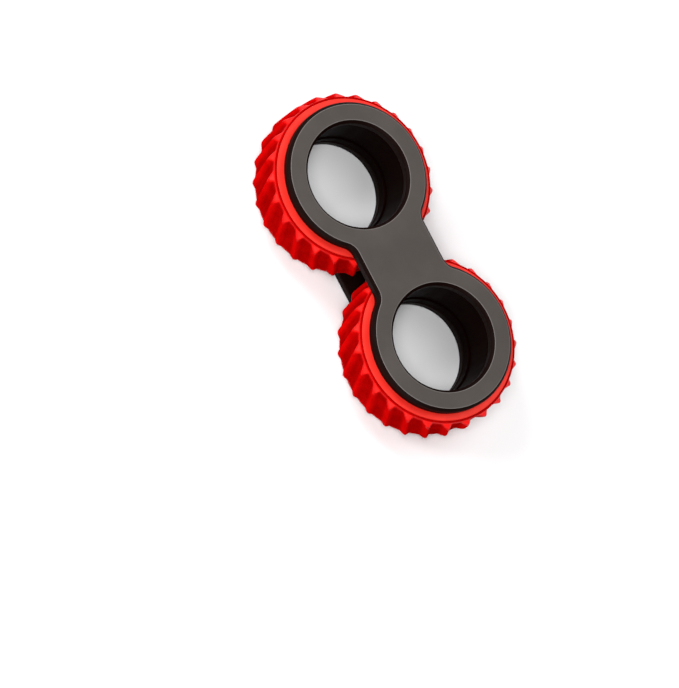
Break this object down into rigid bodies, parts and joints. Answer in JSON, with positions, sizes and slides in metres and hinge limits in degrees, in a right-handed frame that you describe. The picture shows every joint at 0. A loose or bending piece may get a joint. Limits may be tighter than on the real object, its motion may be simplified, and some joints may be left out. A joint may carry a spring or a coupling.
{
  "type": "finger exerciser",
  "caption": "Pocket finger exerciser: a flat figure-eight frame with two finger bores, each ringed by a ribbed rubber wheel that spins on a thin ball bearing.",
  "frame": {"origin": "on the rear plate's outer face, under the middle of the waist between the two finger bores", "axes": "+X from the left bore to the right bore, +Y across the waist, +Z out of the front plate along both finger bores"},
  "size_m": [0.0772, 0.0384, 0.017],
  "materials": {
    "plate_black": "moulded charcoal plastic with a fine satin texture and brighter cut edges",
    "hub_black": "smooth black plastic, low gloss",
    "race_steel": "ground bearing steel",
    "ball_steel": "polished bearing balls",
    "cage_nylon": "natural nylon",
    "rim_red": "moulded red plastic, satin to gloss",
    "tyre_red": "soft red rubber with a slight sheen"
  },
  "bodies": {
    "frame": {"front_plate": "plate_black", "rear_plate": "plate_black", "left_front_hub": "hub_black", "left_rear_hub": "hub_black", "left_inner_race": "race_steel", "right_front_hub": "hub_black", "right_rear_hub": "hub_black", "right_inner_race": "race_steel"},
    "left_wheel": {"left_rim": "rim_red", "left_tyre": "tyre_red", "left_outer_race": "race_steel"},
    "left_cage": {"left_ball_cage": "cage_nylon", "left_ball_01": "ball_steel", "left_ball_02": "ball_steel", "left_ball_03": "ball_steel", "left_ball_04": "ball_steel", "left_ball_05": "ball_steel", "left_ball_06": "ball_steel", "left_ball_07": "ball_steel", "left_ball_08": "ball_steel", "left_ball_09": "ball_steel", "left_ball_10": "ball_steel", "left_ball_11": "ball_steel", "left_ball_12": "ball_steel", "left_ball_13": "ball_steel", "left_ball_14": "ball_steel", "left_ball_15": "ball_steel", "left_ball_16": "ball_steel"},
    "right_wheel": {"right_rim": "rim_red", "right_tyre": "tyre_red", "right_outer_race": "race_steel"},
    "right_cage": {"right_ball_cage": "cage_nylon", "right_ball_01": "ball_steel", "right_ball_02": "ball_steel", "right_ball_03": "ball_steel", "right_ball_04": "ball_steel", "right_ball_05": "ball_steel", "right_ball_06": "ball_steel", "right_ball_07": "ball_steel", "right_ball_08": "ball_steel", "right_ball_09": "ball_steel", "right_ball_10": "ball_steel", "right_ball_11": "ball_steel", "right_ball_12": "ball_steel", "right_ball_13": "ball_steel", "right_ball_14": "ball_steel", "right_ball_15": "ball_steel", "right_ball_16": "ball_steel"}
  },
  "joints": [
    {"name": "left_wheel_spin", "type": "hinge", "parent": "frame", "child": "left_wheel", "pos_m": [-0.0194, 0, 0.0085], "axis": [0, 0, 1], "continuous": true},
    {"name": "left_cage_spin", "type": "hinge", "parent": "frame", "child": "left_cage", "pos_m": [-0.0194, 0, 0.0085], "axis": [0, 0, 1], "continuous": true},
    {"name": "right_wheel_spin", "type": "hinge", "parent": "frame", "child": "right_wheel", "pos_m": [0.0194, 0, 0.0085], "axis": [0, 0, 1], "continuous": true},
    {"name": "right_cage_spin", "type": "hinge", "parent": "frame", "child": "right_cage", "pos_m": [0.0194, 0, 0.0085], "axis": [0, 0, 1], "continuous": true}
  ],
  "couplings": [
    {"joint": "left_cage_spin", "follows": "left_wheel_spin", "ratio": 0.52878},
    {"joint": "right_cage_spin", "follows": "right_wheel_spin", "ratio": 0.52878}
  ]
}
